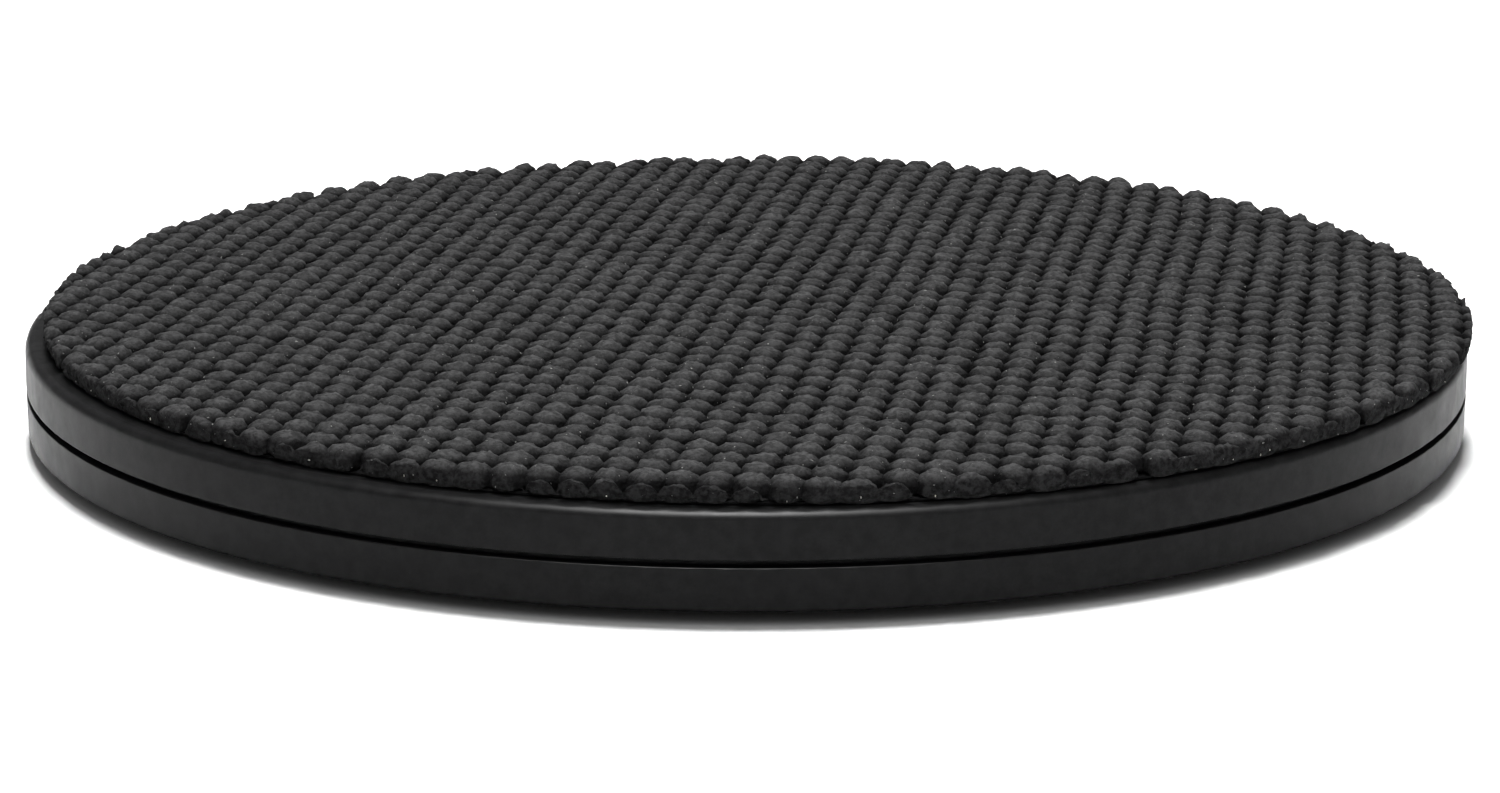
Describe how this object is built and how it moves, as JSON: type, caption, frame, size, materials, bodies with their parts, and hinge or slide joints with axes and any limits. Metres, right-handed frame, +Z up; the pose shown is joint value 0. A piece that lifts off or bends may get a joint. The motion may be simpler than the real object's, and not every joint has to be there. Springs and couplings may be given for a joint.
{
  "type": "rotating disc",
  "caption": "Round black rotating disc for standing or sitting turns: two moulded discs on a ball bearing, with a knobbly non-slip foam mat on top and rubber feet under it.",
  "frame": {"origin": "bottom centre, on the plane the rubber feet stand on, on the spin axis", "axes": "+Z up along the spin axis; +X and +Y lie in the floor plane, and -Y faces the viewer"},
  "size_m": [0.3048, 0.3048, 0.0262],
  "materials": {
    "grip_foam": "matte",
    "adhesive_film": "satin",
    "disc_plastic": "satin",
    "race_steel": "satin",
    "ball_steel": "polished",
    "zinc_screw": "satin",
    "nylon": "satin",
    "acetal": "satin",
    "bronze": "satin",
    "foot_rubber": "matte"
  },
  "bodies": {
    "base": {"lower_disc": "disc_plastic", "lower_race": "race_steel", "lower_race_screws": "zinc_screw", "pivot_bush": "bronze", "pivot_cap": "disc_plastic", "rubber_foot_1": "foot_rubber", "rubber_foot_2": "foot_rubber", "rubber_foot_3": "foot_rubber", "rubber_foot_4": "foot_rubber", "rubber_foot_5": "foot_rubber", "rubber_foot_6": "foot_rubber"},
    "cage": {"ball_cage": "nylon", "bearing_balls": "ball_steel"},
    "top": {"upper_disc": "disc_plastic", "upper_race": "race_steel", "upper_race_screws": "zinc_screw", "pivot_bolt": "zinc_screw", "thrust_washer": "acetal", "nut_washer": "zinc_screw", "lock_nut": "zinc_screw", "lock_nut_insert": "nylon", "mat_adhesive": "adhesive_film", "grip_mat": "grip_foam"}
  },
  "joints": [
    {"name": "disc_spin", "type": "hinge", "parent": "base", "child": "top", "pos_m": [0, 0, 0.0112], "axis": [0, 0, 1], "continuous": true},
    {"name": "cage_orbit", "type": "hinge", "parent": "base", "child": "cage", "pos_m": [0, 0, 0.0112], "axis": [0, 0, 1], "continuous": true}
  ],
  "couplings": [
    {"joint": "cage_orbit", "follows": "disc_spin", "ratio": 0.5}
  ]
}
